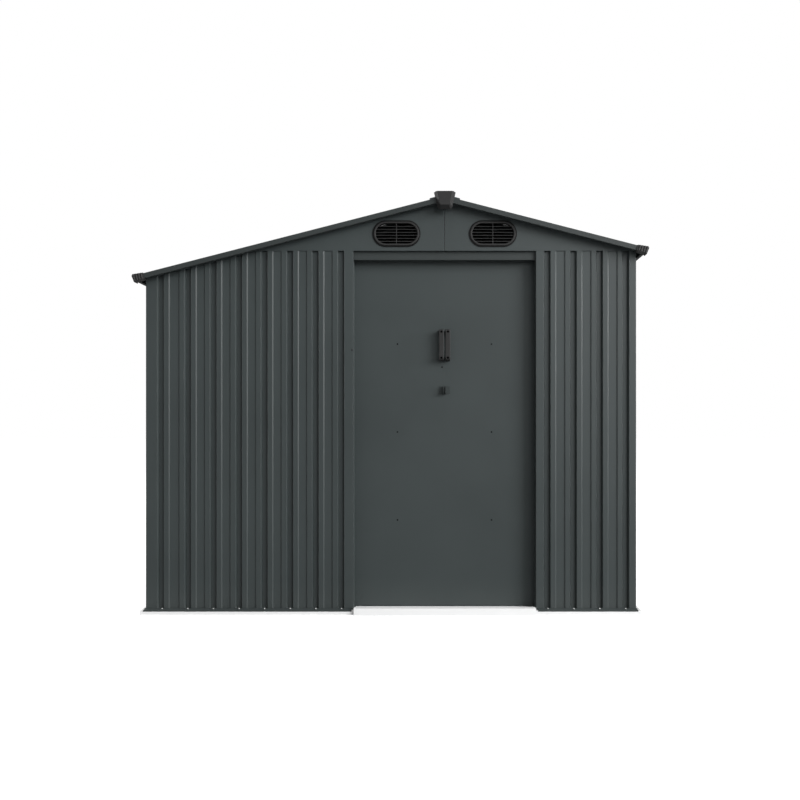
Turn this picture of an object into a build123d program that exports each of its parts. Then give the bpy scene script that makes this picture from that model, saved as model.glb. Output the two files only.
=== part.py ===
from build123d import *
from math import atan, cos, sin
import os

# Metal storage shed: corrugated walls, an off-centre ridge and a pair of sliding doors.
# The door side faces -Y, the ground is Z = 0 and the origin is the middle of the plan.

os.makedirs("parts", exist_ok=True)

# Building size, in millimetres
wall_width = 2330
wall_depth = 1790
ridge_from_left = 1420
roof_slope = 0.2565
joint_height = 1725
gable_height = 247
eave_overhang = 38
verge_overhang = 40

# Metal thicknesses
skin = 1.0
frame_steel = 1.2

# Corrugated sheets: wide ribs with a shallow pan, between narrow deep grooves
rib_depth = 13
pan_depth = 3.5
rib_flat = 22.5
pan_slope = 5
groove_width = 32
groove_slope = 5
rib_pitch = 121.5
corner_flat = 53
corner_pitch = 128.5
right_corner_flat = 33
jamb_flat_left = 44
jamb_flat_right = 37.5
verge_flat = 25

# Ground frame and threshold
rail_height = 20
rail_lip = 20
rail_foot = 55
rail_upstand = 38
threshold_lip = 34
threshold_height = 34
threshold_ledge = 25
threshold_back = 50
threshold_gap = 5

# Posts, rails and rafters
post_leg = 30
rail_flange = 25
header_height = 40
mid_rail_height = 850
mid_rail_width = 40
mid_rail_depth = 22
rafter_depth = 30
ridge_beam_leg = 40
eave_rail_depth = 35

# Doorway and its lining
door_opening = 868
jamb_depth = 52
jamb_front_flange = 30
jamb_back_flange = 20

# Door leaves and their stiffeners
door_setback = 58
leaf_width = 454.5
leaf_thickness = 18
leaf_bottom = 14
leaf_lap = 15
seam_gap = 1
brace_heights = (437, 863, 1289)
brace_width = 60
brace_flat = 24
brace_depth = 12

# Tracks and slides
track_front = 57
track_width = 20
track_depth = 15.8
upper_track_gap = 1
lower_track_gap = 10
lower_track_base = 29
lower_track_thickness = 1.5
guide_height = 9
slide_width = 40
slide_inset = 60
slide_height = 18
slide_thickness = 12
shoe_bottom = 4
shoe_thickness = 14
guide_room = 1
guide_top_room = 0.3

# Handles and padlock eyes
handle_offset = 15.5
handle_width = 24
handle_bottom = 1207
handle_top = 1356
handle_reach = 40
handle_bar = 16
handle_leg = 20
handle_round = 12
handle_edge = 3
handle_screw_inset = 12
handle_screw_radius = 5.5
handle_screw_depth = 12
hasp_gap = 4
hasp_thickness = 2
hasp_plate = 22
hasp_lug = 26
hasp_bottom = 1046
hasp_top = 1084
hasp_round = 8
hasp_eye = 5
hasp_eye_from_leaf = 16

# Roof edge trims
trim_height = 23.2
eave_trim_height = 28
verge_cover = 34
eave_cover = 30
trim_return = 12
ridge_gap = 6
flashing_half = 71
flashing_rise = 6.7

# Black caps at the ends of the eaves
cap_reach = 48
cap_proud = 4
cap_inner = 7
cap_run = 6
cap_top = 1.5
cap_crest = 6
cap_corner = 6
cap_tip = 31
cap_tip_width = 4
cap_floor = 27
cap_mouth = 24.2
flutes = 4
flute_pitch = 12
flute_inset = 9
flute_radius = 5
flute_proud = 3

# Black caps at the ends of the ridge: half outlines from the ridge line, back and front
ridge_cap_depth = 22
ridge_cap_back = [(25, -63), (35, -54), (51, 15), (41, 22)]
ridge_cap_front = [(20, -49), (24, -44), (34, 12), (31, 15)]

# Louvred vents in the gables
vent_offset = 229
vent_height_over_joint = 81
vent_length = 228
vent_height = 126
vent_flange = 6
vent_ring = 9
vent_round = 2.6
vent_step = 3
vent_sleeve = 7
vent_sleeve_depth = 12
vent_hole_room = 1
louvres = 6
louvre_pitch = 14.2
louvre_tip = 2
louvre_drop = 4
louvre_thickness = 3
louvre_depth = 12
louvre_bar = 3

# Places that follow from the sizes above
half_width = wall_width / 2
half_depth = wall_depth / 2
ridge_height = joint_height + gable_height
ridge_x = ridge_from_left - half_width
wall_inner = rib_depth + skin
roof_build = frame_steel + rib_depth + skin
pitch_angle = atan(roof_slope)
slope_cos = cos(pitch_angle)
slope_sin = sin(pitch_angle)
under_ridge = ridge_height - roof_build / slope_cos
door_left = ridge_x - door_opening / 2
door_right = ridge_x + door_opening / 2
header_bottom = joint_height - header_height
leaf_top = header_bottom + leaf_lap
reach = {-1: ridge_from_left, 1: wall_width - ridge_from_left}
vent_centre = joint_height + vent_height_over_joint
vent_opening_length = vent_length - 2 * (vent_flange + vent_ring)
vent_opening_height = vent_height - 2 * (vent_flange + vent_ring)

# Each wall is drawn in its own plan, with x along the wall, y into the shed and z up
front_plan = Plane(origin=(0, -half_depth, 0), x_dir=(1, 0, 0), z_dir=(0, 0, 1))
right_plan = Plane(origin=(half_width, 0, 0), x_dir=(0, 1, 0), z_dir=(0, 0, 1))
back_plan = Plane(origin=(0, half_depth, 0), x_dir=(-1, 0, 0), z_dir=(0, 0, 1))
left_plan = Plane(origin=(-half_width, 0, 0), x_dir=(0, -1, 0), z_dir=(0, 0, 1))
ridge_plane = Plane.YZ.offset(ridge_x)


def wall_section(plan):
    """Plane across a wall: x into the shed, y up, z along the wall."""
    return Plane(origin=plan.origin, x_dir=plan.y_dir, z_dir=plan.x_dir)


def slope_section(side, start=0):
    """Plane across a roof slope: y out of the roof, z down the slope."""
    down = Vector(side * slope_cos, 0, -slope_sin)
    ridge = Vector(ridge_x, 0, ridge_height)
    return Plane(origin=ridge + down * start, x_dir=(0, side, 0), z_dir=down)


def slope_side(side, y=0):
    """Plane along a roof slope: x down the slope, y out of the roof."""
    down = Vector(side * slope_cos, 0, -slope_sin)
    return Plane(origin=(ridge_x, y, ridge_height), x_dir=down, z_dir=(0, -side, 0))


def slope_run(distance, rise=0):
    """Way down a slope to a level distance from the ridge, for a line raised off the slope."""
    return (distance - rise * slope_sin) / slope_cos


def span(x0, x1, y0, y1):
    """Rectangle in the current sketch, given by its limits."""
    low = min(x0, x1)
    high = max(x0, x1)
    return Polygon((low, y0), (high, y0), (high, y1), (low, y1))


def bent(points, thickness, side):
    """Section of a folded sheet in the current sketch, to one side of its line of folds."""
    with BuildLine(mode=Mode.PRIVATE) as folds:
        Polyline(*points)
        offset(amount=thickness, side=side, kind=Kind.INTERSECTION)
    make_face(folds.edges())


def even_steps(first, last):
    """Far sides of the grooves from the first to the last, as near the pitch as fits."""
    count = round((last - first) / rib_pitch)
    return [first + i * (last - first) / count for i in range(count + 1)]


def corrugation(start, steps, stop):
    """Folds of a corrugated sheet; each step is the far side of a groove."""
    points = [(start, 0)]
    for i, step in enumerate(steps):
        groove = step - groove_width
        if i > 0:
            rib = steps[i - 1]
            points += [(rib + rib_flat, 0), (rib + rib_flat + pan_slope, pan_depth)]
            points += [(groove - rib_flat - pan_slope, pan_depth), (groove - rib_flat, 0)]
        points += [(groove, 0), (groove + groove_slope, rib_depth)]
        points += [(step - groove_slope, rib_depth), (step, 0)]
    return points + [(stop, 0)]


def space_under_roof(drop):
    """All that lies below both roof slopes, less a drop measured square to them."""
    top = under_ridge - drop / slope_cos
    with BuildPart() as space:
        with BuildSketch(Plane.XZ):
            Polygon(
                (-half_width, 0),
                (half_width, 0),
                (half_width, top - roof_slope * reach[1]),
                (ridge_x, top),
                (-half_width, top - roof_slope * reach[-1]),
            )
        extrude(amount=wall_depth, both=True)
    return space.part


under_roof = space_under_roof(0)
under_rafters = space_under_roof(rafter_depth)

# Ground frame: folded rails with a foot, a low front, a ledge for the sheets and an upstand
rail_folds = [
    (rail_foot, 0),
    (-rail_lip, 0),
    (-rail_lip, rail_height),
    (wall_inner, rail_height),
    (wall_inner, rail_upstand),
]
upstand_half = half_width - wall_inner
rail_half = half_width + rail_lip

with BuildPart() as base_rail_front:
    with BuildSketch(wall_section(front_plan)):
        bent(rail_folds, frame_steel, Side.RIGHT)
    extrude(amount=rail_half, both=True)
    # The upstand stops at the corners and leaves the doorway clear
    with BuildSketch(Plane.XY.offset(rail_height)):
        for x0, x1 in [(-rail_half, -upstand_half), (upstand_half, rail_half),
                       (door_left - frame_steel, door_right + frame_steel)]:
            span(x0, x1, -half_depth, -half_depth + rail_foot)
    extrude(amount=rail_upstand, mode=Mode.SUBTRACT)

with BuildPart() as base_rail_back:
    with BuildSketch(wall_section(back_plan)):
        bent(rail_folds, frame_steel, Side.RIGHT)
    extrude(amount=rail_half, both=True)
    with BuildSketch(Plane.XY.offset(rail_height)):
        for x0, x1 in [(-rail_half, -upstand_half), (upstand_half, rail_half)]:
            span(x0, x1, half_depth - rail_foot, half_depth)
    extrude(amount=rail_upstand, mode=Mode.SUBTRACT)

# The side rails run between the other two, their feet notched over the others' feet
side_rail_half = half_depth - wall_inner - frame_steel

with BuildPart() as base_rail_left:
    with BuildSketch(wall_section(left_plan)):
        bent(rail_folds, frame_steel, Side.RIGHT)
    extrude(amount=side_rail_half, both=True)
    with BuildSketch():
        for facing in (-1, 1):
            span(-rail_half, 0, *sorted((facing * half_depth, facing * (half_depth - rail_foot))))
    extrude(amount=frame_steel, mode=Mode.SUBTRACT)

with BuildPart() as base_rail_right:
    mirror(base_rail_left.part, about=Plane.YZ)

with BuildPart() as door_threshold:
    threshold_floor = rail_height + frame_steel
    threshold_folds = [
        (threshold_back, frame_steel),
        (threshold_back, threshold_floor),
        (threshold_ledge - threshold_lip, threshold_floor),
        (threshold_ledge - threshold_lip, threshold_height),
        (-threshold_lip, threshold_height),
        (-threshold_lip, 0),
    ]
    with BuildSketch(wall_section(front_plan).offset(ridge_x)):
        bent(threshold_folds, frame_steel, Side.LEFT)
    extrude(amount=door_opening / 2 - threshold_gap, both=True)

# Corrugated walls, standing on the ledge of the ground frame
left_start = -half_width + corner_flat + groove_width
left_steps = [left_start] + even_steps(left_start + corner_pitch, door_left - jamb_flat_left)
right_steps = even_steps(door_right + jamb_flat_right + groove_width, half_width - right_corner_flat)
back_steps = even_steps(-half_width + corner_flat + groove_width, half_width - corner_flat)
side_half = half_depth - skin
side_steps = even_steps(-side_half + corner_flat + groove_width, side_half - corner_flat)

with BuildPart() as front_wall_left:
    with BuildSketch(front_plan.offset(rail_height)):
        bent(corrugation(-half_width, left_steps, door_left), skin, Side.LEFT)
    extrude(amount=joint_height - rail_height)
    add(under_roof, mode=Mode.INTERSECT)

with BuildPart() as front_wall_right:
    with BuildSketch(front_plan.offset(rail_height)):
        bent(corrugation(door_right, right_steps, half_width), skin, Side.LEFT)
    extrude(amount=joint_height - rail_height)
    add(under_roof, mode=Mode.INTERSECT)

with BuildPart() as back_wall:
    with BuildSketch(back_plan.offset(rail_height)):
        bent(corrugation(-half_width, back_steps, half_width), skin, Side.LEFT)
    extrude(amount=joint_height - rail_height)
    add(under_roof, mode=Mode.INTERSECT)

with BuildPart() as left_wall:
    with BuildSketch(left_plan.offset(rail_height)):
        bent(corrugation(-side_half, side_steps, side_half), skin, Side.LEFT)
    extrude(amount=joint_height - rail_height)
    add(under_roof, mode=Mode.INTERSECT)

with BuildPart() as right_wall:
    with BuildSketch(right_plan.offset(rail_height)):
        bent(corrugation(-side_half, side_steps, side_half), skin, Side.LEFT)
    extrude(amount=joint_height - rail_height + wall_inner)
    add(under_roof, mode=Mode.INTERSECT)

# Corner posts: angles inside the four corners
with BuildPart() as corner_posts:
    for plan, half in [(front_plan, half_width), (right_plan, half_depth),
                       (back_plan, half_width), (left_plan, half_depth)]:
        inner = skin - half
        post_folds = [(inner, skin + post_leg), (inner, skin), (inner + post_leg, skin)]
        with BuildSketch(plan.offset(rail_height)):
            bent(post_folds, frame_steel, Side.LEFT)
        extrude(amount=joint_height - rail_height)
    add(under_roof, mode=Mode.INTERSECT)

# Header: a channel behind the front sheets that shows as a band over the doors
track_back = track_front + track_width
track_top = joint_height - frame_steel

with BuildPart() as door_header:
    header_folds = [
        (jamb_depth, header_bottom),
        (wall_inner, header_bottom),
        (wall_inner, joint_height),
        (track_back + skin, joint_height),
    ]
    with BuildSketch(wall_section(front_plan)):
        bent(header_folds, frame_steel, Side.RIGHT)
    extrude(amount=half_width - wall_inner, both=True)
    add(under_rafters, mode=Mode.INTERSECT)

with BuildPart() as back_header:
    back_header_folds = [
        (wall_inner + rail_flange, header_bottom),
        (wall_inner, header_bottom),
        (wall_inner, joint_height),
        (wall_inner + rail_flange, joint_height),
    ]
    with BuildSketch(wall_section(back_plan)):
        bent(back_header_folds, frame_steel, Side.RIGHT)
    extrude(amount=half_width - wall_inner, both=True)
    add(under_rafters, mode=Mode.INTERSECT)

# Upper track: a channel, open downwards, under the header's top flange
with BuildPart() as upper_door_track:
    upper_folds = [
        (track_front, track_top - track_depth),
        (track_front, track_top),
        (track_back, track_top),
        (track_back, track_top - track_depth),
    ]
    upper_track_half = half_width - wall_inner - rail_flange - upper_track_gap - ridge_x
    with BuildSketch(wall_section(front_plan).offset(ridge_x)):
        bent(upper_folds, frame_steel, Side.RIGHT)
    extrude(amount=upper_track_half, both=True)

# Lower track: a flat base with an upright rib that the door shoes straddle
leaf_middle = door_setback + leaf_thickness / 2

with BuildPart() as lower_door_track:
    lower_track_half = half_width - rail_foot - lower_track_gap - ridge_x
    with BuildSketch(wall_section(front_plan).offset(ridge_x)):
        span(rail_foot, rail_foot + lower_track_base, 0, lower_track_thickness)
        span(leaf_middle - frame_steel / 2, leaf_middle + frame_steel / 2, 0, guide_height)
    extrude(amount=lower_track_half, both=True)

# Jambs: channels whose webs line the sides of the doorway
with BuildPart() as door_jamb_left:
    jamb_folds = [
        (door_left - jamb_front_flange, skin),
        (door_left, skin),
        (door_left, jamb_depth),
        (door_left - jamb_back_flange, jamb_depth),
    ]
    with BuildSketch(front_plan.offset(rail_height)):
        bent(jamb_folds, frame_steel, Side.LEFT)
    extrude(amount=header_bottom - rail_height)

with BuildPart() as door_jamb_right:
    mirror(door_jamb_left.part, about=ridge_plane)

# Rails inside the side and back walls
with BuildPart() as mid_rails:
    low = mid_rail_height - mid_rail_width / 2
    high = mid_rail_height + mid_rail_width / 2
    rail_in = wall_inner + mid_rail_depth
    mid_folds = [(wall_inner, low), (rail_in, low), (rail_in, high), (wall_inner, high)]
    for plan, half in [(left_plan, half_depth - rail_in), (right_plan, half_depth - rail_in),
                       (back_plan, half_width - wall_inner)]:
        with BuildSketch(wall_section(plan)):
            bent(mid_folds, frame_steel, Side.LEFT)
        extrude(amount=half, both=True)

# Rafters along the tops of the front and back walls
rafter_inner = wall_inner + rail_flange

with BuildPart() as rafters:
    for side in (-1, 1):
        start = slope_run(skin, -roof_build - rafter_depth)
        stop = slope_run(reach[side] - wall_inner, -roof_build)
        for facing in (-1, 1):
            edge = side * facing
            rafter_folds = [
                (edge * (half_depth - wall_inner), -roof_build - rafter_depth),
                (edge * (half_depth - wall_inner), -roof_build),
                (edge * (half_depth - rafter_inner), -roof_build),
            ]
            with BuildSketch(slope_section(side, start)):
                bent(rafter_folds, frame_steel, Side.LEFT if edge > 0 else Side.RIGHT)
            extrude(amount=stop - start)

# Ridge beam and two purlins, from rafter to rafter
with BuildPart() as roof_beams:
    beam_half = half_depth - rafter_inner
    beam_side = under_ridge - ridge_beam_leg * roof_slope
    with BuildSketch(Plane.XZ):
        beam_folds = [
            (ridge_x - ridge_beam_leg, beam_side),
            (ridge_x, under_ridge),
            (ridge_x + ridge_beam_leg, beam_side),
        ]
        bent(beam_folds, frame_steel, Side.RIGHT)
    extrude(amount=beam_half, both=True)
    for side in (-1, 1):
        run = slope_run(reach[side] / 2)
        purlin_folds = [
            (run, -roof_build - rafter_depth),
            (run, -roof_build),
            (run + rail_flange, -roof_build),
        ]
        with BuildSketch(slope_side(side)):
            bent(purlin_folds, frame_steel, Side.RIGHT)
        extrude(amount=beam_half, both=True)

with BuildPart() as eave_rail_left:
    eave_top = under_ridge - roof_slope * (reach[-1] - wall_inner)
    eave_folds = [
        (wall_inner, eave_top - eave_rail_depth),
        (wall_inner, eave_top),
        (wall_inner + rail_flange, eave_top + rail_flange * roof_slope),
    ]
    with BuildSketch(wall_section(left_plan)):
        bent(eave_folds, frame_steel, Side.RIGHT)
    extrude(amount=beam_half, both=True)

with BuildPart() as eave_rail_right:
    eave_top = under_ridge - roof_slope * (reach[1] - wall_inner)
    eave_folds = [
        (wall_inner, eave_top - eave_rail_depth),
        (wall_inner, eave_top),
        (wall_inner + rail_flange, eave_top + rail_flange * roof_slope),
    ]
    with BuildSketch(wall_section(right_plan)):
        bent(eave_folds, frame_steel, Side.RIGHT)
    extrude(amount=beam_half, both=True)

# Plain gable panels over the corrugated sheets, with lips along the joint and the middle
gable_front_plane = Plane(origin=(ridge_x, -half_depth, 0), x_dir=(1, 0, 0), z_dir=(0, -1, 0))

with BuildPart() as gable_front:
    for side in (-1, 1):
        inner = side * seam_gap * 0.75
        outer = side * reach[side]
        with BuildSketch(gable_front_plane):
            span(inner, outer, joint_height, ridge_height)
            with Locations((side * vent_offset, vent_centre)):
                SlotOverall(
                    vent_opening_length + 2 * (vent_sleeve + vent_hole_room),
                    vent_opening_height + 2 * (vent_sleeve + vent_hole_room),
                    mode=Mode.SUBTRACT,
                )
        extrude(amount=-skin)
        with BuildSketch(gable_front_plane):
            span(inner, outer, joint_height, joint_height + skin)
            span(inner, inner + side * skin, joint_height, ridge_height)
        extrude(amount=-wall_inner)
    add(under_roof, mode=Mode.INTERSECT)

with BuildPart() as gable_back:
    mirror(gable_front.part, about=Plane.XZ)

# Louvred vents: an oval flange and ring, with slats and a middle bar across the opening
with BuildPart() as vent:
    with BuildSketch(Plane.YZ):
        for i in range(louvres):
            low = (i - (louvres - 1) / 2) * louvre_pitch - louvre_thickness
            Polygon(
                (-louvre_tip, low),
                (louvre_depth - louvre_tip, low + louvre_drop),
                (louvre_depth - louvre_tip, low + louvre_drop + louvre_thickness),
                (-louvre_tip, low + louvre_thickness),
            )
    extrude(amount=vent_length / 2, both=True)
    with Locations((0, louvre_depth / 2 - louvre_tip, 0)):
        Box(louvre_bar, louvre_depth, vent_height)
    with BuildSketch(Plane.XZ):
        SlotOverall(vent_opening_length + vent_sleeve, vent_opening_height + vent_sleeve)
    extrude(amount=vent_height, both=True, mode=Mode.INTERSECT)
    for grow, low, high in [(vent_flange + vent_ring, 0, vent_step),
                            (vent_ring, vent_step, 2 * vent_step),
                            (vent_sleeve, -vent_sleeve_depth, 0)]:
        with BuildSketch(Plane.XZ.offset(low)):
            SlotOverall(vent_opening_length + 2 * grow, vent_opening_height + 2 * grow)
            SlotOverall(vent_opening_length, vent_opening_height, mode=Mode.SUBTRACT)
        extrude(amount=high - low)
    fillet(edges().group_by(Axis.Y)[0], radius=vent_round)

with BuildPart() as vents_front:
    for side in (-1, 1):
        add(vent.part.moved(Location((ridge_x + side * vent_offset, -half_depth, vent_centre))))

with BuildPart() as vents_back:
    mirror(vents_front.part, about=Plane.XZ)

# Roof sheets, tucked under the edge trims; their grooves' floors lie on the gables
trim_half = half_depth + verge_overhang
sheet_half = trim_half - frame_steel
roof_steps = even_steps(-half_depth + verge_flat, half_depth + groove_width - verge_flat)


def eave_run(side):
    """Way down a slope from the ridge to the edge of its eave trim."""
    return slope_run(reach[side] + eave_overhang)


def roof_section():
    """Section of a roof sheet in the current sketch."""
    folds = corrugation(-sheet_half, roof_steps, sheet_half)
    bent([(x, -frame_steel - depth) for x, depth in folds], skin, Side.RIGHT)


with BuildPart() as roof_sheet_left:
    start = slope_run(ridge_gap, -roof_build)
    with BuildSketch(slope_section(-1, start)):
        roof_section()
    extrude(amount=eave_run(-1) - frame_steel - start)

with BuildPart() as roof_sheet_right:
    start = slope_run(ridge_gap, -roof_build)
    with BuildSketch(slope_section(1, start)):
        roof_section()
    extrude(amount=eave_run(1) - frame_steel - start)

# Edge trims: channels round the roof sheets' edges
with BuildPart() as verge_trim_front:
    for side in (-1, 1):
        edge = -side * trim_half
        verge_folds = [
            (edge + side * verge_cover, 0),
            (edge, 0),
            (edge, -trim_height),
            (edge + side * trim_return, -trim_height),
        ]
        start = slope_run(seam_gap / 2, -trim_height)
        with BuildSketch(slope_section(side, start)):
            bent(verge_folds, frame_steel, Side.LEFT if side > 0 else Side.RIGHT)
        extrude(amount=eave_run(side) - start)

with BuildPart() as verge_trim_back:
    mirror(verge_trim_front.part, about=Plane.XZ)

with BuildPart() as eave_trim_left:
    run = eave_run(-1)
    with BuildSketch(slope_side(-1)):
        bent([(run - eave_cover, 0), (run, 0), (run, -eave_trim_height),
              (run - trim_return, -eave_trim_height)], frame_steel, Side.RIGHT)
    extrude(amount=trim_half - verge_cover, both=True)

with BuildPart() as eave_trim_right:
    run = eave_run(1)
    with BuildSketch(slope_side(1)):
        bent([(run - eave_cover, 0), (run, 0), (run, -eave_trim_height),
              (run - trim_return, -eave_trim_height)], frame_steel, Side.RIGHT)
    extrude(amount=trim_half - verge_cover, both=True)



def slope_top(side):
    """Plane on a roof slope: x down the slope, z out of the roof."""
    down = Vector(side * slope_cos, 0, -slope_sin)
    out = Vector(side * slope_sin, 0, slope_cos)
    return Plane(origin=(ridge_x, 0, ridge_height), x_dir=down, z_dir=out)


def eave_cap(side):
    """Fluted cap over the front corner of one slope, hollow where the trims run into it."""
    inner = slope_run(reach[side] - cap_run)
    outer = slope_run(reach[side] + cap_reach)
    back = -side * (half_depth + cap_inner)
    face = -side * (trim_half + cap_proud)
    crown = face + side * (flute_radius - flute_proud)
    with BuildPart() as cap:
        with BuildSketch(slope_top(side)):
            span(inner, outer, min(back, face), max(back, face))
            with Locations(*[(outer - flute_inset - i * flute_pitch, crown) for i in range(flutes)]):
                Circle(flute_radius)
        extrude(amount=trim_height + eave_trim_height, both=True)
        with BuildSketch(slope_side(side)):
            Polygon(
                (inner, -cap_mouth),
                (outer - 2 * cap_tip_width, -cap_floor),
                (outer - cap_tip_width, -cap_tip),
                (outer, cap_crest - cap_corner),
                (outer - cap_corner, cap_crest),
                (inner, cap_top),
            )
        extrude(amount=wall_depth, both=True, mode=Mode.INTERSECT)
        with BuildSketch(slope_side(side)):
            span(0, eave_run(side), -trim_height, 0)
        extrude(amount=trim_half, both=True, mode=Mode.SUBTRACT)
    return cap.part


# Black end caps slipped over the corners where the trims meet
front_caps = [eave_cap(side) for side in (-1, 1)]

with BuildPart() as eave_caps:
    for cap in front_caps:
        add(cap)
    mirror(about=Plane.XZ)

# Ridge flashing over the tops of both slopes, closed at both ends
with BuildPart() as ridge_flashing:
    low = ridge_height - (flashing_half - frame_steel) * roof_slope
    high = ridge_height - flashing_half * roof_slope + flashing_rise
    flashing_folds = [
        (ridge_x - flashing_half, low),
        (ridge_x - flashing_half, high),
        (ridge_x, ridge_height + flashing_rise),
        (ridge_x + flashing_half, high),
        (ridge_x + flashing_half, low),
    ]
    with BuildSketch(Plane.XZ):
        bent(flashing_folds, frame_steel, Side.RIGHT)
    extrude(amount=trim_half, both=True)
    with BuildSketch(Plane.XZ.offset(trim_half - frame_steel)):
        Polygon(*flashing_folds, (ridge_x + flashing_half - frame_steel, low), (ridge_x, ridge_height),
                (ridge_x - flashing_half + frame_steel, low))
    extrude(amount=frame_steel)
    mirror(about=Plane.XZ)

# Bevelled black caps that close the ends of the ridge
with BuildPart() as ridge_caps:
    ridge_end = Plane(origin=(ridge_x, -trim_half, ridge_height), x_dir=(1, 0, 0), z_dir=(0, -1, 0))
    for plane, half_outline in [(ridge_end, ridge_cap_back),
                                (ridge_end.offset(ridge_cap_depth), ridge_cap_front)]:
        with BuildSketch(plane):
            Polygon(*half_outline, *[(-x, y) for x, y in reversed(half_outline)])
    loft(ruled=True)
    mirror(about=Plane.XZ)

# Door leaves: folded trays, open at the back
leaf_plane = Plane(origin=(ridge_x, -half_depth + door_setback, 0), x_dir=(1, 0, 0), z_dir=(0, -1, 0))

with BuildPart() as door_leaf_right:
    with BuildSketch(leaf_plane):
        span(seam_gap / 2, seam_gap / 2 + leaf_width, leaf_bottom, leaf_top)
    extrude(amount=-leaf_thickness)
    offset(amount=-skin, openings=faces().sort_by(Axis.Y)[-1], kind=Kind.INTERSECTION)

with BuildPart() as door_leaf_left:
    mirror(door_leaf_right.part, about=ridge_plane)

# Three stiffeners across the back of each leaf's skin
with BuildPart() as door_braces_right:
    base = door_setback + skin
    for height in brace_heights:
        brace_folds = [
            (base, height - brace_width / 2),
            (base, height - brace_width / 4 - brace_flat / 4),
            (base + brace_depth, height - brace_flat / 2),
            (base + brace_depth, height + brace_flat / 2),
            (base, height + brace_width / 4 + brace_flat / 4),
            (base, height + brace_width / 2),
        ]
        with BuildSketch(wall_section(front_plan).offset(ridge_x + seam_gap / 2 + skin)):
            bent(brace_folds, skin, Side.RIGHT)
        extrude(amount=leaf_width - 2 * skin)

with BuildPart() as door_braces_left:
    mirror(door_braces_right.part, about=ridge_plane)

# Plastic slides: blocks in the upper track and slotted shoes over the lower track's rib
with BuildPart() as door_slides_right:
    first = ridge_x + seam_gap / 2 + slide_inset
    last = ridge_x + seam_gap / 2 + leaf_width - slide_inset - slide_width
    for x in (first, last):
        with BuildSketch(wall_section(front_plan).offset(x)):
            span(leaf_middle - slide_thickness / 2, leaf_middle + slide_thickness / 2,
                 leaf_top, leaf_top + slide_height)
            span(leaf_middle - shoe_thickness / 2, leaf_middle + shoe_thickness / 2,
                 shoe_bottom, leaf_bottom)
            with BuildSketch(mode=Mode.SUBTRACT):
                span(leaf_middle - frame_steel / 2 - guide_room,
                     leaf_middle + frame_steel / 2 + guide_room,
                     0, guide_height + guide_top_room)
        extrude(amount=slide_width)

with BuildPart() as door_slides_left:
    mirror(door_slides_right.part, about=ridge_plane)

# Bow handles with a screw recess at each end
with BuildPart() as handle_right:
    grip = handle_reach - handle_bar
    with BuildSketch(wall_section(front_plan).offset(ridge_x + handle_offset)):
        span(door_setback - handle_reach, door_setback, handle_bottom, handle_top)
        with BuildSketch(mode=Mode.SUBTRACT):
            span(door_setback - grip, door_setback, handle_bottom + handle_leg, handle_top - handle_leg)
    extrude(amount=handle_width / 2, both=True)
    fillet(edges().filter_by(Axis.X).group_by(Axis.Y)[0], radius=handle_round)
    handle_front = door_setback - half_depth - handle_reach
    front_edges = edges().filter_by_position(Axis.Y, handle_front, handle_front + handle_round)
    fillet(front_edges.filter_by(Axis.X, reverse=True), radius=handle_edge)
    with Locations(*[Location((ridge_x + handle_offset, handle_front, z), (90, 0, 0))
                     for z in (handle_bottom + handle_screw_inset, handle_top - handle_screw_inset)]):
        Cylinder(handle_screw_radius, 2 * handle_screw_depth, mode=Mode.SUBTRACT)

with BuildPart() as handle_left:
    mirror(handle_right.part, about=ridge_plane)

# Padlock eyes: a plate on each leaf with a lug that stands out beside the seam
with BuildPart() as hasp_right:
    with BuildSketch(front_plan.offset(hasp_bottom)):
        bent([(ridge_x + hasp_gap + hasp_plate, door_setback), (ridge_x + hasp_gap, door_setback),
              (ridge_x + hasp_gap, door_setback - hasp_lug)], hasp_thickness, Side.LEFT)
    extrude(amount=hasp_top - hasp_bottom)
    fillet(edges().filter_by(Axis.X).group_by(Axis.Y)[0], radius=hasp_round)
    with BuildSketch(ridge_plane):
        with Locations((-half_depth + door_setback - hasp_eye_from_leaf, (hasp_bottom + hasp_top) / 2)):
            Circle(hasp_eye)
    extrude(amount=hasp_plate, mode=Mode.SUBTRACT)

with BuildPart() as hasp_left:
    mirror(hasp_right.part, about=ridge_plane)

# Every piece is written under its own name
pieces = {
    "base_rail_front": base_rail_front,
    "base_rail_back": base_rail_back,
    "base_rail_left": base_rail_left,
    "base_rail_right": base_rail_right,
    "door_threshold": door_threshold,
    "lower_door_track": lower_door_track,
    "upper_door_track": upper_door_track,
    "door_header": door_header,
    "back_header": back_header,
    "eave_rail_left": eave_rail_left,
    "eave_rail_right": eave_rail_right,
    "corner_posts": corner_posts,
    "door_jamb_left": door_jamb_left,
    "door_jamb_right": door_jamb_right,
    "mid_rails": mid_rails,
    "front_wall_left": front_wall_left,
    "front_wall_right": front_wall_right,
    "back_wall": back_wall,
    "left_wall": left_wall,
    "right_wall": right_wall,
    "gable_front": gable_front,
    "gable_back": gable_back,
    "vents_front": vents_front,
    "vents_back": vents_back,
    "rafters": rafters,
    "roof_beams": roof_beams,
    "roof_sheet_left": roof_sheet_left,
    "roof_sheet_right": roof_sheet_right,
    "verge_trim_front": verge_trim_front,
    "verge_trim_back": verge_trim_back,
    "eave_trim_left": eave_trim_left,
    "eave_trim_right": eave_trim_right,
    "eave_caps": eave_caps,
    "ridge_flashing": ridge_flashing,
    "ridge_caps": ridge_caps,
    "door_leaf_left": door_leaf_left,
    "door_leaf_right": door_leaf_right,
    "door_braces_left": door_braces_left,
    "door_braces_right": door_braces_right,
    "door_slides_left": door_slides_left,
    "door_slides_right": door_slides_right,
    "handle_left": handle_left,
    "handle_right": handle_right,
    "hasp_left": hasp_left,
    "hasp_right": hasp_right,
}
for name, piece in pieces.items():
    piece.part.label = name
    export_step(piece.part, f"parts/{name}.step")
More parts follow.
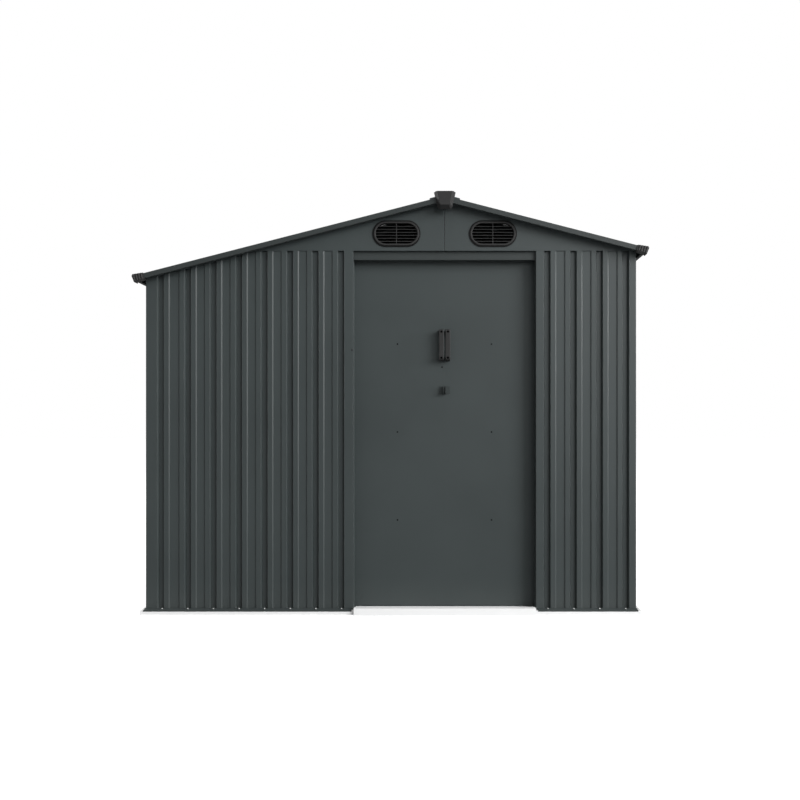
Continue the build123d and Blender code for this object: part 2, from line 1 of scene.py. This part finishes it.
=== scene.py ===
import bpy
import numpy as np
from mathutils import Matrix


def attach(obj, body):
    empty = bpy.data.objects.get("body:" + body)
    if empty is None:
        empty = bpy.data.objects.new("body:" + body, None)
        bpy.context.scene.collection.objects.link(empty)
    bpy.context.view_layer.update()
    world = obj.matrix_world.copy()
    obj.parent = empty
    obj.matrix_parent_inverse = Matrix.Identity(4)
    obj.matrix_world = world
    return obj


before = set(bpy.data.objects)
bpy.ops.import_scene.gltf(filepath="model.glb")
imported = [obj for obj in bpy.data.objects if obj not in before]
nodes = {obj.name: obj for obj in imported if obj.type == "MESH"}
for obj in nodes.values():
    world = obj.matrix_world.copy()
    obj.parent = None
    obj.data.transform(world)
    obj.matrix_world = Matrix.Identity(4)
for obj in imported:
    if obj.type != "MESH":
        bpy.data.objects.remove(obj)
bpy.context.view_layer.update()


# Painted sheets: walls, roof slopes, ridge flashing and door jambs.
# Thin rolled steel with a baked dark grey coat that has a faint green cast,
# a fine orange peel, slightly wavy flats and rounded folds.
def place(tree, kind, values=None, **settings):
    """One node in a tree, with its settings and its unlinked socket values."""
    made = tree.nodes.new(kind)
    for key, value in settings.items():
        setattr(made, key, value)
    for key, value in (values or {}).items():
        made.inputs[key].default_value = value
    return made


def effect(name, inputs, outputs):
    """An empty node group with named float and colour sockets, and its two ends."""
    group = bpy.data.node_groups.new(name, "ShaderNodeTree")
    for label, kind, value in inputs:
        socket = group.interface.new_socket(label, in_out="INPUT", socket_type=kind)
        socket.default_value = value
    for label, kind in outputs:
        group.interface.new_socket(label, in_out="OUTPUT", socket_type=kind)
    return group, group.nodes.new("NodeGroupInput"), group.nodes.new("NodeGroupOutput")


dust_top = 0.16
dust_color = (0.34, 0.33, 0.30, 1)


def mottle_group():
    """Slow blotches, fine grain and a dust line near the ground, from Object coordinates."""
    group, start, end = effect(
        "coat_mottle",
        [("Color", "NodeSocketColor", (0.5, 0.5, 0.5, 1)), ("Blotch", "NodeSocketFloat", 0.06),
         ("Grain Scale", "NodeSocketFloat", 900.0), ("Dust", "NodeSocketFloat", 0.1),
         ("Rough Low", "NodeSocketFloat", 0.4), ("Rough High", "NodeSocketFloat", 0.55)],
        [("Color", "NodeSocketColor"), ("Roughness", "NodeSocketFloat"),
         ("Height", "NodeSocketFloat")])
    link = group.links.new
    where = place(group, "ShaderNodeTexCoord")
    slow = place(group, "ShaderNodeTexNoise", {"Scale": 2.6, "Detail": 5.0, "Roughness": 0.55})
    fine = place(group, "ShaderNodeTexNoise", {"Detail": 2.0})
    link(where.outputs["Object"], slow.inputs["Vector"])
    link(where.outputs["Object"], fine.inputs["Vector"])
    link(start.outputs["Grain Scale"], fine.inputs["Scale"])
    # The colour is scaled by 1 plus the blotch strength times the slow noise's swing
    swing = place(group, "ShaderNodeMapRange",
                  {"From Min": 0.3, "From Max": 0.7, "To Min": -1.0, "To Max": 1.0})
    link(slow.outputs["Fac"], swing.inputs["Value"])
    blotch = place(group, "ShaderNodeMath", {2: 1.0}, operation="MULTIPLY_ADD")
    link(swing.outputs["Result"], blotch.inputs[0])
    link(start.outputs["Blotch"], blotch.inputs[1])
    shade = place(group, "ShaderNodeVectorMath", operation="SCALE")
    link(start.outputs["Color"], shade.inputs[0])
    link(blotch.outputs[0], shade.inputs["Scale"])
    # Dust thins out over the lowest part of the walls
    height = place(group, "ShaderNodeSeparateXYZ")
    low = place(group, "ShaderNodeMapRange",
                {"From Min": 0.0, "From Max": dust_top, "To Min": 1.0, "To Max": 0.0}, clamp=True)
    dusty = place(group, "ShaderNodeMath", operation="MULTIPLY")
    patchy = place(group, "ShaderNodeMath", operation="MULTIPLY")
    cover = place(group, "ShaderNodeMix", {"B": dust_color}, data_type="RGBA")
    link(where.outputs["Object"], height.inputs[0])
    link(height.outputs["Z"], low.inputs["Value"])
    link(low.outputs["Result"], dusty.inputs[0])
    link(start.outputs["Dust"], dusty.inputs[1])
    link(dusty.outputs[0], patchy.inputs[0])
    link(slow.outputs["Fac"], patchy.inputs[1])
    link(patchy.outputs[0], cover.inputs["Factor"])
    link(shade.outputs[0], cover.inputs["A"])
    rough = place(group, "ShaderNodeMapRange", {"From Min": 0.3, "From Max": 0.7})
    link(slow.outputs["Fac"], rough.inputs["Value"])
    link(start.outputs["Rough Low"], rough.inputs["To Min"])
    link(start.outputs["Rough High"], rough.inputs["To Max"])
    link(cover.outputs["Result"], end.inputs["Color"])
    link(rough.outputs["Result"], end.inputs["Roughness"])
    link(fine.outputs["Fac"], end.inputs["Height"])
    return group


coat_mottle = mottle_group()


def finish_material(name, color, blotch, grain, dust, rough, bump, edge,
                    metallic=0.0, specular=0.5):
    """A Principled finish whose colour, roughness and relief come from the mottle group.
    grain is the fine noise's scale and rough its lowest and highest roughness; bump is
    the relief's height and edge the radius that rounds the folds, both in metres."""
    made = bpy.data.materials.new(name)
    made.use_nodes = True
    tree = made.node_tree
    shader = tree.nodes["Principled BSDF"]
    shader.inputs["Metallic"].default_value = metallic
    shader.inputs["Specular IOR Level"].default_value = specular
    coat = place(tree, "ShaderNodeGroup", node_tree=coat_mottle, name="coat")
    for label, value in [("Color", (*color, 1)), ("Blotch", blotch), ("Grain Scale", grain),
                         ("Dust", dust), ("Rough Low", rough[0]), ("Rough High", rough[1])]:
        coat.inputs[label].default_value = value
    round_edge = place(tree, "ShaderNodeBevel", {"Radius": edge}, samples=4)
    relief = place(tree, "ShaderNodeBump", {"Strength": 0.35, "Distance": bump})
    tree.links.new(coat.outputs["Color"], shader.inputs["Base Color"])
    tree.links.new(coat.outputs["Roughness"], shader.inputs["Roughness"])
    tree.links.new(coat.outputs["Height"], relief.inputs["Height"])
    tree.links.new(round_edge.outputs["Normal"], relief.inputs["Normal"])
    tree.links.new(relief.outputs["Normal"], shader.inputs["Normal"])
    return made


def coat_pieces(material, *names):
    """Gives the named CAD pieces one finish in place of the one they came with."""
    for name in names:
        nodes[name].data.materials.clear()
        nodes[name].data.materials.append(material)


paint_color = (0.0418, 0.0521, 0.0527)
painted_sheet = finish_material(
    "painted_sheet", paint_color, blotch=0.05, grain=700.0, dust=0.06,
    rough=(0.46, 0.54), bump=0.00012, edge=0.0045, specular=0.42)
coat_pieces(painted_sheet, "door_jamb_left", "door_jamb_right", "front_wall_left",
            "front_wall_right", "back_wall", "left_wall", "right_wall",
            "roof_sheet_left", "roof_sheet_right", "ridge_flashing")


# Verge trims, eave trims and door header: folded channels of the same coated steel,
# pushed over the edges and screwed on, in a darker and duller tone of the coat.
# On the door header that darker tone is painted shade from the gable's overhang.
trim_tone_and_header_shade = finish_material(
    "trim_tone_and_header_shade", (0.036, 0.043, 0.043), blotch=0.05, grain=700.0, dust=0.0,
    rough=(0.44, 0.54), bump=0.00012, edge=0.0020, specular=0.3)
coat_pieces(trim_tone_and_header_shade, "verge_trim_front", "verge_trim_back", "eave_trim_left",
            "eave_trim_right", "door_header")


# Door leaves and gables: flat sheets with the same coat and crisp edges; the leaves
# hang on slides behind the header, the gables lap over the walls and meet mid-way.
leaf_paint = finish_material(
    "leaf_paint", paint_color, blotch=0.05, grain=700.0, dust=0.06,
    rough=(0.46, 0.54), bump=0.00012, edge=0.0004, specular=0.40)
coat_pieces(leaf_paint, "door_leaf_left", "door_leaf_right", "gable_front", "gable_back")


# Padlock eyes: small folded plates with the same coat in a darker and smoother tone,
# riveted to the leaves on both sides of the seam.
eye_paint = finish_material(
    "eye_paint", (0.036, 0.044, 0.044), blotch=0.04, grain=900.0, dust=0.0,
    rough=(0.40, 0.50), bump=0.00006, edge=0.0012, specular=0.3)
coat_pieces(eye_paint, "hasp_left", "hasp_right")


# Frame members inside: zinc-coated folded steel, left bare, dull and slightly
# spangled; posts, rails, rafters, purlins, tracks and the door stiffeners.
zinc_rail = finish_material(
    "zinc_rail", (0.88, 0.89, 0.89), blotch=0.04, grain=240.0, dust=0.05,
    rough=(0.38, 0.52), bump=0.00008, edge=0.0010, metallic=0.15)
coat_pieces(zinc_rail, "lower_door_track", "upper_door_track", "back_header",
            "eave_rail_left", "eave_rail_right", "corner_posts", "mid_rails", "rafters",
            "roof_beams", "door_braces_left", "door_braces_right")


# Ground rails and threshold: the same folded steel with a pale coat, the only frame
# members that show from outside, along the foot of the walls. Their colour is lifted
# to nearly white, brighter than the same steel inside, as painted light.
pale_and_lit_rail = finish_material(
    "pale_and_lit_rail", (0.975, 0.98, 0.98), blotch=0.015, grain=240.0, dust=0.02,
    rough=(0.34, 0.44), bump=0.00006, edge=0.0010)
coat_pieces(pale_and_lit_rail, "base_rail_front", "base_rail_back", "base_rail_left",
            "base_rail_right", "door_threshold")


# Black plastic parts: handles, end caps and door slides.
# Injection moulded with a fine matte grain, pushed on or held with screws.
black_plastic = finish_material(
    "black_plastic", (0.0305, 0.0305, 0.0305), blotch=0.04, grain=1400.0, dust=0.05,
    rough=(0.48, 0.58), bump=0.00010, edge=0.0014, specular=0.2)
coat_pieces(black_plastic, "eave_caps", "ridge_caps", "door_slides_left",
            "door_slides_right", "handle_left", "handle_right")


# Gable vents: moulded in the same plastic. The thin flange against the wall is smooth
# and painted nearly black as painted shade round the raised ring; the ring and the
# slats keep the plastic's own colour and grain.
ridge_x = 0.255
flange_face, ring_face = 0.898, 0.900
vent_offset, vent_height = 0.229, 1.8060
half_straight, opening_radius = 0.051, 0.0475


def flange_shade_group():
    """Mask that is 0 on the flange, which gets the painted shade, and 1 on the ring, which
    stands further out along Y, and on the slats, which lie inside the oval opening: the
    length of (x past the opening's straight part, z from its middle) is below the opening's
    radius there."""
    group, start, end = effect(
        "vent_flange_shade",
        [("Low", "NodeSocketFloat", flange_face), ("High", "NodeSocketFloat", ring_face),
         ("Ridge X", "NodeSocketFloat", ridge_x), ("Offset", "NodeSocketFloat", vent_offset),
         ("Half Straight", "NodeSocketFloat", half_straight),
         ("Centre Z", "NodeSocketFloat", vent_height),
         ("Radius", "NodeSocketFloat", opening_radius)],
        [("Mask", "NodeSocketFloat")])
    link = group.links.new

    def worked(operation, first, second=None):
        """The result of one sum on one or two other nodes' results."""
        made = place(group, "ShaderNodeMath", operation=operation)
        for socket, source in zip(made.inputs, (first, second)):
            if source is not None:
                link(source, socket)
        return made.outputs[0]

    where = place(group, "ShaderNodeTexCoord")
    split = place(group, "ShaderNodeSeparateXYZ")
    link(where.outputs["Object"], split.inputs[0])
    ring = place(group, "ShaderNodeMapRange", {"To Min": 0.0, "To Max": 1.0})
    link(worked("ABSOLUTE", split.outputs["Y"]), ring.inputs["Value"])
    link(start.outputs["Low"], ring.inputs["From Min"])
    link(start.outputs["High"], ring.inputs["From Max"])
    from_ridge = worked("ABSOLUTE", worked("SUBTRACT", split.outputs["X"],
                                           start.outputs["Ridge X"]))
    from_middle = worked("ABSOLUTE", worked("SUBTRACT", from_ridge, start.outputs["Offset"]))
    past = place(group, "ShaderNodeMath", {1: 0.0}, operation="MAXIMUM")
    link(worked("SUBTRACT", from_middle, start.outputs["Half Straight"]), past.inputs[0])
    rise = worked("SUBTRACT", split.outputs["Z"], start.outputs["Centre Z"])
    square = worked("ADD", worked("MULTIPLY", past.outputs[0], past.outputs[0]),
                    worked("MULTIPLY", rise, rise))
    inside = worked("LESS_THAN", worked("SQRT", square), start.outputs["Radius"])
    link(worked("MAXIMUM", ring.outputs["Result"], inside), end.inputs["Mask"])
    return group


vent_plastic = finish_material(
    "vent_plastic", (0.033, 0.033, 0.033), blotch=0.04, grain=1400.0, dust=0.0,
    rough=(0.42, 0.52), bump=0.00008, edge=0.0016, specular=0.17)
# Painted shade: the flange's colour is nearly black, for the shade round the raised ring.
flange_shade_color = (0.0045, 0.0045, 0.0045, 1)
tree = vent_plastic.node_tree
# The mask puts the painted shade on the flange and keeps the coat's colour elsewhere.
unshaded_mask = place(tree, "ShaderNodeGroup", node_tree=flange_shade_group())
flange_shade = place(tree, "ShaderNodeMix", {"A": flange_shade_color}, data_type="RGBA")
tree.links.new(unshaded_mask.outputs["Mask"], flange_shade.inputs["Factor"])
tree.links.new(tree.nodes["coat"].outputs["Color"], flange_shade.inputs["B"])
tree.links.new(flange_shade.outputs["Result"], tree.nodes["Principled BSDF"].inputs["Base Color"])
coat_pieces(vent_plastic, "vents_front", "vents_back")


# Drip strip round the foot of the walls: a narrow painted strip that leans out
# from the sheets over the ground rail and closes the ends of the grooves.
# It is deeper along the front, where it stops on both sides of the threshold.
def ring_faces(rings, count):
    """Quads between closed rings of points: points j and j + 1 of ring i are joined to
    the same two points of ring i + 1, and the last j wraps round to the first."""
    i = np.arange(rings - 1)[:, None] * count
    j = np.arange(count)[None, :]
    after = (j + 1) % count
    quads = [i + j, i + after, i + count + after, i + count + j]
    return np.stack(quads, axis=-1).reshape(-1, 4)


def surface(name, points, faces, material, body, slot, smooth=True):
    """A mesh object from an array of points and an array of quads, riding on a body."""
    mesh = bpy.data.meshes.new(name)
    mesh.from_pydata(points.reshape(-1, 3).tolist(), [], faces.tolist())
    mesh.polygons.foreach_set("use_smooth", np.full(len(mesh.polygons), smooth))
    mesh.materials.append(material)
    mesh.update()
    made = bpy.data.objects.new(name, mesh)
    bpy.context.scene.collection.objects.link(made)
    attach(made, body)


def swept(profile, path, out):
    """A closed profile carried along a path: each point is the path's point, plus the
    profile's first value along the outward direction and its second value straight up."""
    return (path[:, None, :] + out[:, None, :] * profile[None, :, :1]
            + np.array([0, 0, 1.0]) * profile[None, :, 1:])


half_width, half_depth = 1.165, 0.895
doorway_left, doorway_right = -0.179, 0.689
threshold_left, threshold_right = -0.186, 0.696
end_flare = 0.2
# Sections of the strip, as (distance out from the wall, height)
side_strip = np.array([[0.0, 0.0254], [0.0010, 0.0262], [0.0045, 0.0250],
                       [0.0045, 0.0206], [0.0035, 0.0206], [0.0033, 0.0240]])
front_strip = np.array([[0.0, 0.0254], [0.0010, 0.0262], [0.0213, 0.0214],
                        [0.0213, 0.0160], [0.0203, 0.0160], [0.0203, 0.0205]])
front_left, back_left = [-half_width, -half_depth, 0], [-half_width, half_depth, 0]
front_right, back_right = [half_width, -half_depth, 0], [half_width, half_depth, 0]
strip_runs = [
    ("drip_strip_sides", side_strip, [front_left, back_left, back_right, front_right],
     [[-1, -1, 0], [-1, 1, 0], [1, 1, 0], [1, -1, 0]]),
    ("drip_strip_left", front_strip, [[threshold_left, -half_depth, 0], front_left],
     [[0, -1, 0], [-end_flare, -1, 0]]),
    ("drip_strip_right", front_strip, [front_right, [threshold_right, -half_depth, 0]],
     [[end_flare, -1, 0], [0, -1, 0]]),
]
# Two quads close the six-sided section at each end of a run
near_cap = np.array([[0, 1, 2, 3], [0, 3, 4, 5]])
for name, section, path, out in strip_runs:
    points = swept(section, np.array(path), np.array(out, float))
    far_cap = near_cap[:, [0, 3, 2, 1]] + (len(path) - 1) * len(section)
    sides = ring_faces(len(path), len(section))[:, ::-1]
    surface(name, points, np.concatenate([sides, near_cap, far_cap]), painted_sheet,
            "shed", "painted_sheet", smooth=False)


# Fixing screws: zinc-plated pan heads on dark sealing washers.
# They stand in the grooves of the sheets along the ground rail, the middle
# rails and the top rails, and hold the roof sheets to the rafters and purlins.
zinc_screw = finish_material(
    "zinc_screw", (0.72, 0.73, 0.73), blotch=0.03, grain=500.0, dust=0.0,
    rough=(0.24, 0.32), bump=0.00004, edge=0.0003, metallic=0.6)
dark_washer = finish_material(
    "dark_washer", (0.030, 0.032, 0.032), blotch=0.03, grain=900.0, dust=0.1,
    rough=(0.5, 0.6), bump=0.00005, edge=0.0003)


def buttons(profile, places, normals, sides=16):
    """Round heads: a profile of (radius, height) turned about each place's own normal.
    Points are place + radius (cos t side + sin t up) + height normal, where side is
    square to the normal and to Z, or to Y where the normal is nearly upright."""
    places = np.asarray(places, float)
    normals = np.asarray(normals, float)
    guide = np.where(np.abs(normals[:, 2:]) > 0.9, [[0.0, 1.0, 0.0]], [[0.0, 0.0, 1.0]])
    side = np.cross(guide, normals)
    side /= np.linalg.norm(side, axis=1, keepdims=True)
    up = np.cross(normals, side)
    turn = np.linspace(0, 2 * np.pi, sides, endpoint=False)
    ring = (side[:, None, :] * np.cos(turn)[None, :, None]
            + up[:, None, :] * np.sin(turn)[None, :, None])
    points = (places[:, None, None, :] + profile[None, :, None, :1] * ring[:, None, :, :]
              + profile[None, :, None, 1:] * normals[:, None, None, :])
    first_points = np.arange(len(places)) * len(profile) * sides
    faces = ring_faces(len(profile), sides)[None] + first_points[:, None, None]
    return points, faces.reshape(-1, 4)


# Profiles of the head and of the washer, as (radius, height)
head_profile = np.array([[0.0040, 0.0010], [0.0040, 0.0020], [0.0032, 0.0031],
                         [0.0018, 0.0036], [0.0012, 0.0028], [0.0001, 0.0026]])
washer_profile = np.array([[0.0062, 0.0], [0.0060, 0.0011], [0.0036, 0.0015],
                           [0.0001, 0.0015]])


def screws_and_washers(label, spots, outward):
    """Two pieces of the shed: a zinc head and a dark washer at every spot."""
    surface(f"{label}_screws", *buttons(head_profile, spots, outward), zinc_screw,
            "shed", "galvanised_steel")
    surface(f"{label}_washers", *buttons(washer_profile, spots, outward), dark_washer,
            "shed", "black_plastic")


def groove_middles(first, last, pitch=0.1215, groove=0.032):
    """Middles of the grooves between the far sides of the first and the last one."""
    count = round((last - first) / pitch)
    return np.linspace(first, last, count + 1) - groove / 2


rib_depth = 0.013
slope = 0.2565
rail_height, middle_height = 0.0295, 0.840
back_top, left_top, right_top = 1.705, 1.566, 1.700
gable_peak, gable_margin = 1.956, 0.05
# Runs of grooves, from the first one's far side to the last one's, measured from the
# ends of each wall and from the doorway; the left front starts with a groove of its own
corner_groove, left_first = -half_width + 0.0794, -0.9477
left_run = groove_middles(left_first, doorway_left - 0.040)
right_run = groove_middles(doorway_right + 0.0717, half_width - 0.036)
back_run = groove_middles(-half_width + 0.085, half_width - 0.053)
side_run = groove_middles(-half_depth + 0.086, half_depth - 0.054)
spots, outward = [], []
# Along the front they go through the drip strip, square to its sloping face
strip_reach, strip_height, strip_facing = 0.0062, 0.0250, (0, -0.230, 0.973)
for x in np.concatenate([[corner_groove], left_run, right_run]):
    spots.append((x, -half_depth - strip_reach, strip_height))
    outward.append(strip_facing)
# The back wall's top row keeps below the sloping roof
for z in (rail_height, middle_height, back_top):
    for x in back_run:
        if z < gable_peak - slope * abs(-x - ridge_x) - gable_margin:
            spots.append((-x, half_depth - rib_depth, z))
            outward.append((0, 1, 0))
for y in side_run:
    for z in (rail_height, middle_height, left_top):
        spots.append((-half_width + rib_depth, -y, z))
        outward.append((-1, 0, 0))
    for z in (rail_height, middle_height, right_top):
        spots.append((half_width - rib_depth, y, z))
        outward.append((1, 0, 0))
screws_and_washers("wall", spots, outward)

# Roof screws sit in the grooves of the roof sheets: near the ridge, on the purlin
# halfway down and near the eave
roof_peak, roof_skin = 1.972, 0.0012
left_reach, right_reach = 1.420, 0.910
ridge_inset, purlin_shift, eave_inset = 0.110, 0.012, 0.060
level_part, rising_part = np.cos(np.arctan(slope)), np.sin(np.arctan(slope))
roof_run = groove_middles(-half_depth + 0.025, half_depth + 0.007)
spots, outward = [], []
for side, reach in ((-1, left_reach), (1, right_reach)):
    for distance in (ridge_inset, reach / 2 + purlin_shift, reach - eave_inset):
        for y in roof_run[1:-1]:
            x = ridge_x + side * distance
            z = roof_peak - slope * distance - (roof_skin + rib_depth) / level_part
            spots.append((x, side * y, z))
            outward.append((side * rising_part, 0, level_part))
screws_and_washers("roof", spots, outward)


# Door screws: small dark flat heads down the middle of each leaf, one through
# each stiffener, one in the recess at each end of both handles and one in the jamb.
dark_screw = finish_material(
    "dark_screw", (0.004, 0.004, 0.004), blotch=0.03, grain=900.0, dust=0.0,
    rough=(0.5, 0.6), bump=0.00004, edge=0.0003, specular=0.1)
leaf_face = -half_depth + 0.058
leaf_middle, stiffener_heights = 0.22775, (0.437, 0.863, 1.289)
handle_middle, recess_depth, recess_heights = 0.0155, 0.028, (1.219, 1.344)
edge_spot = (0.243, leaf_face, 1.177)
jamb_spot = (-0.185, -half_depth, 1.253)
# Profiles of the flat head and of the head in a handle's recess, as (radius, height)
small_head = np.array([[0.0040, 0.0], [0.0038, 0.0006], [0.0026, 0.0010],
                       [0.0010, 0.0010], [0.0001, 0.0005]])
recess_head = np.array([[0.0046, 0.0], [0.0046, 0.0016], [0.0036, 0.0026],
                        [0.0015, 0.0030], [0.0001, 0.0022]])


def door_screws(name, head, spots, body):
    """One piece of dark heads that all face the front."""
    surface(name, *buttons(head, spots, [(0, -1, 0)] * len(spots)), dark_screw, body,
            "black_plastic")


for label, side in (("left", -1), ("right", 1)):
    spots = [(ridge_x + side * leaf_middle, leaf_face, z) for z in stiffener_heights]
    if label == "left":
        spots.append(edge_spot)
    door_screws(f"leaf_screws_{label}", small_head, spots, f"door_{label}")
    spots = [(ridge_x + side * handle_middle, leaf_face - recess_depth, z)
             for z in recess_heights]
    door_screws(f"handle_screws_{label}", recess_head, spots, f"door_{label}")
door_screws("jamb_screw", small_head, [jamb_spot], "shed")


# Closing strips: one flat painted strip down the back of the right leaf, behind the
# seam, and a narrow bead in the seam itself, so that no daylight shows between the
# leaves when they are shut.
strip_foot, strip_head = 0.0155, 1.6985


def upright_strip(name, x_from, x_to, y_from, y_to):
    """A painted bar on the right leaf: the four corners of its section, x from the seam
    and y from the wall's front, stand at its foot and again at its head."""
    corners = np.array([[x_from, y_from], [x_to, y_from], [x_to, y_to], [x_from, y_to]])
    points = np.empty((2, 4, 3))
    points[:, :, 0] = ridge_x + corners[None, :, 0]
    points[:, :, 1] = corners[None, :, 1] - half_depth
    points[:, :, 2] = np.array([strip_foot, strip_head])[:, None]
    surface(name, points, ring_faces(2, 4), leaf_paint, "door_right", "painted_sheet",
            smooth=False)


upright_strip("seam_strip", -0.012, 0.010, 0.0763, 0.0775)
upright_strip("seam_bead", -0.0005, 0.0005, 0.0580, 0.0760)


# Studio: a plain pale floor, a white surround and soft square lamps. The key lamp
# stands far to the right in front and the side lamp further round; weak ones fill in
# from the front, above and the left, and two light the back and the left wall.
def lamp(name, at, aim, size, energy):
    """A square area lamp that looks from one point at another."""
    light = bpy.data.lights.new(name, "AREA")
    light.shape = "SQUARE"
    light.size = size
    light.energy = energy
    made = bpy.data.objects.new(name, light)
    bpy.context.scene.collection.objects.link(made)
    made.location = at
    way = np.subtract(aim, at)
    flat = np.hypot(way[0], way[1])
    made.rotation_euler = (np.arctan2(flat, -way[2]), 0, np.arctan2(-way[0], way[1]))


door_wall = (0.2, -0.9, 1.0)
lamp("key_lamp", (12.2, -9.7, 6.9), aim=door_wall, size=8.0, energy=2440)
lamp("front_lamp", (3.4, -8.6, 3.6), aim=door_wall, size=3.0, energy=84)
lamp("side_lamp", (14.4, -3.5, 3.6), aim=door_wall, size=2.6, energy=800)
lamp("top_lamp", (0.4, -2.6, 5.2), aim=(0.2, -0.6, 1.2), size=3.0, energy=40)
lamp("fill_lamp", (-4.5, -5.0, 2.2), aim=(0.0, -0.9, 1.0), size=4.0, energy=24)
lamp("rear_lamp", (-1.5, 6.0, 4.5), aim=(0.0, 0.9, 1.0), size=4.0, energy=220)
lamp("left_lamp", (-9.0, 2.4, 3.2), aim=(-1.0, 0.0, 1.0), size=4.0, energy=330)

# The surround is plain white where it is seen and much dimmer where it lights
white = (1, 1, 1, 1)
surround_light = 0.165
world = bpy.data.worlds.new("surround")
bpy.context.scene.world = world
world.use_nodes = True
tree = world.node_tree
tree.nodes.clear()
rays = place(tree, "ShaderNodeLightPath")
dim = place(tree, "ShaderNodeBackground", {"Color": white, "Strength": surround_light})
plain = place(tree, "ShaderNodeBackground", {"Color": white, "Strength": 1.0})
seen = place(tree, "ShaderNodeMath", operation="MAXIMUM")
blend = place(tree, "ShaderNodeMixShader")
sky_out = place(tree, "ShaderNodeOutputWorld")
tree.links.new(rays.outputs["Is Camera Ray"], seen.inputs[0])
tree.links.new(rays.outputs["Is Transmission Ray"], seen.inputs[1])
tree.links.new(seen.outputs[0], blend.inputs["Fac"])
tree.links.new(dim.outputs[0], blend.inputs[1])
tree.links.new(plain.outputs[0], blend.inputs[2])
tree.links.new(blend.outputs[0], sky_out.inputs["Surface"])

# The floor is a matt grey that takes the shadow; the camera sees it lifted to white,
# a little less so close to the shed
floor_reach = 40
floor_grey = (0.42, 0.42, 0.42, 1)
floor_mesh = bpy.data.meshes.new("floor")
floor_mesh.from_pydata([(-floor_reach, -floor_reach, 0), (floor_reach, -floor_reach, 0),
                        (floor_reach, floor_reach, 0), (-floor_reach, floor_reach, 0)],
                       [], [(0, 1, 2, 3)])
floor = bpy.data.objects.new("floor", floor_mesh)
bpy.context.scene.collection.objects.link(floor)
floor_white = bpy.data.materials.new("floor_white")
floor_white.use_nodes = True
tree = floor_white.node_tree
tree.nodes.clear()
rays = place(tree, "ShaderNodeLightPath")
matt = place(tree, "ShaderNodeBsdfDiffuse", {"Color": floor_grey})
lift = place(tree, "ShaderNodeEmission", {"Color": white})
where = place(tree, "ShaderNodeTexCoord")
away = place(tree, "ShaderNodeVectorMath", operation="LENGTH")
rise = place(tree, "ShaderNodeMapRange",
             {"From Min": 2.0, "From Max": 4.5, "To Min": 0.92, "To Max": 1.0})
level = place(tree, "ShaderNodeMath", operation="MULTIPLY")
both = place(tree, "ShaderNodeAddShader")
floor_out = place(tree, "ShaderNodeOutputMaterial")
tree.links.new(where.outputs["Object"], away.inputs[0])
tree.links.new(away.outputs["Value"], rise.inputs["Value"])
tree.links.new(rays.outputs["Is Camera Ray"], level.inputs[0])
tree.links.new(rise.outputs["Result"], level.inputs[1])
tree.links.new(level.outputs[0], lift.inputs["Strength"])
tree.links.new(matt.outputs[0], both.inputs[0])
tree.links.new(lift.outputs[0], both.inputs[1])
tree.links.new(both.outputs[0], floor_out.inputs["Surface"])
floor_mesh.materials.append(floor_white)

view = bpy.data.cameras.new("view")
view.lens = 28.4
view.sensor_width = 36
view.shift_x = -0.04375
view.shift_y = 0.0325
camera = bpy.data.objects.new("view", view)
camera.location = (0.209, -3.895, 0.892)
camera.rotation_euler = (np.pi / 2, 0, 0)
bpy.context.scene.collection.objects.link(camera)
bpy.context.scene.camera = camera
bpy.context.scene.view_settings.view_transform = "Standard"
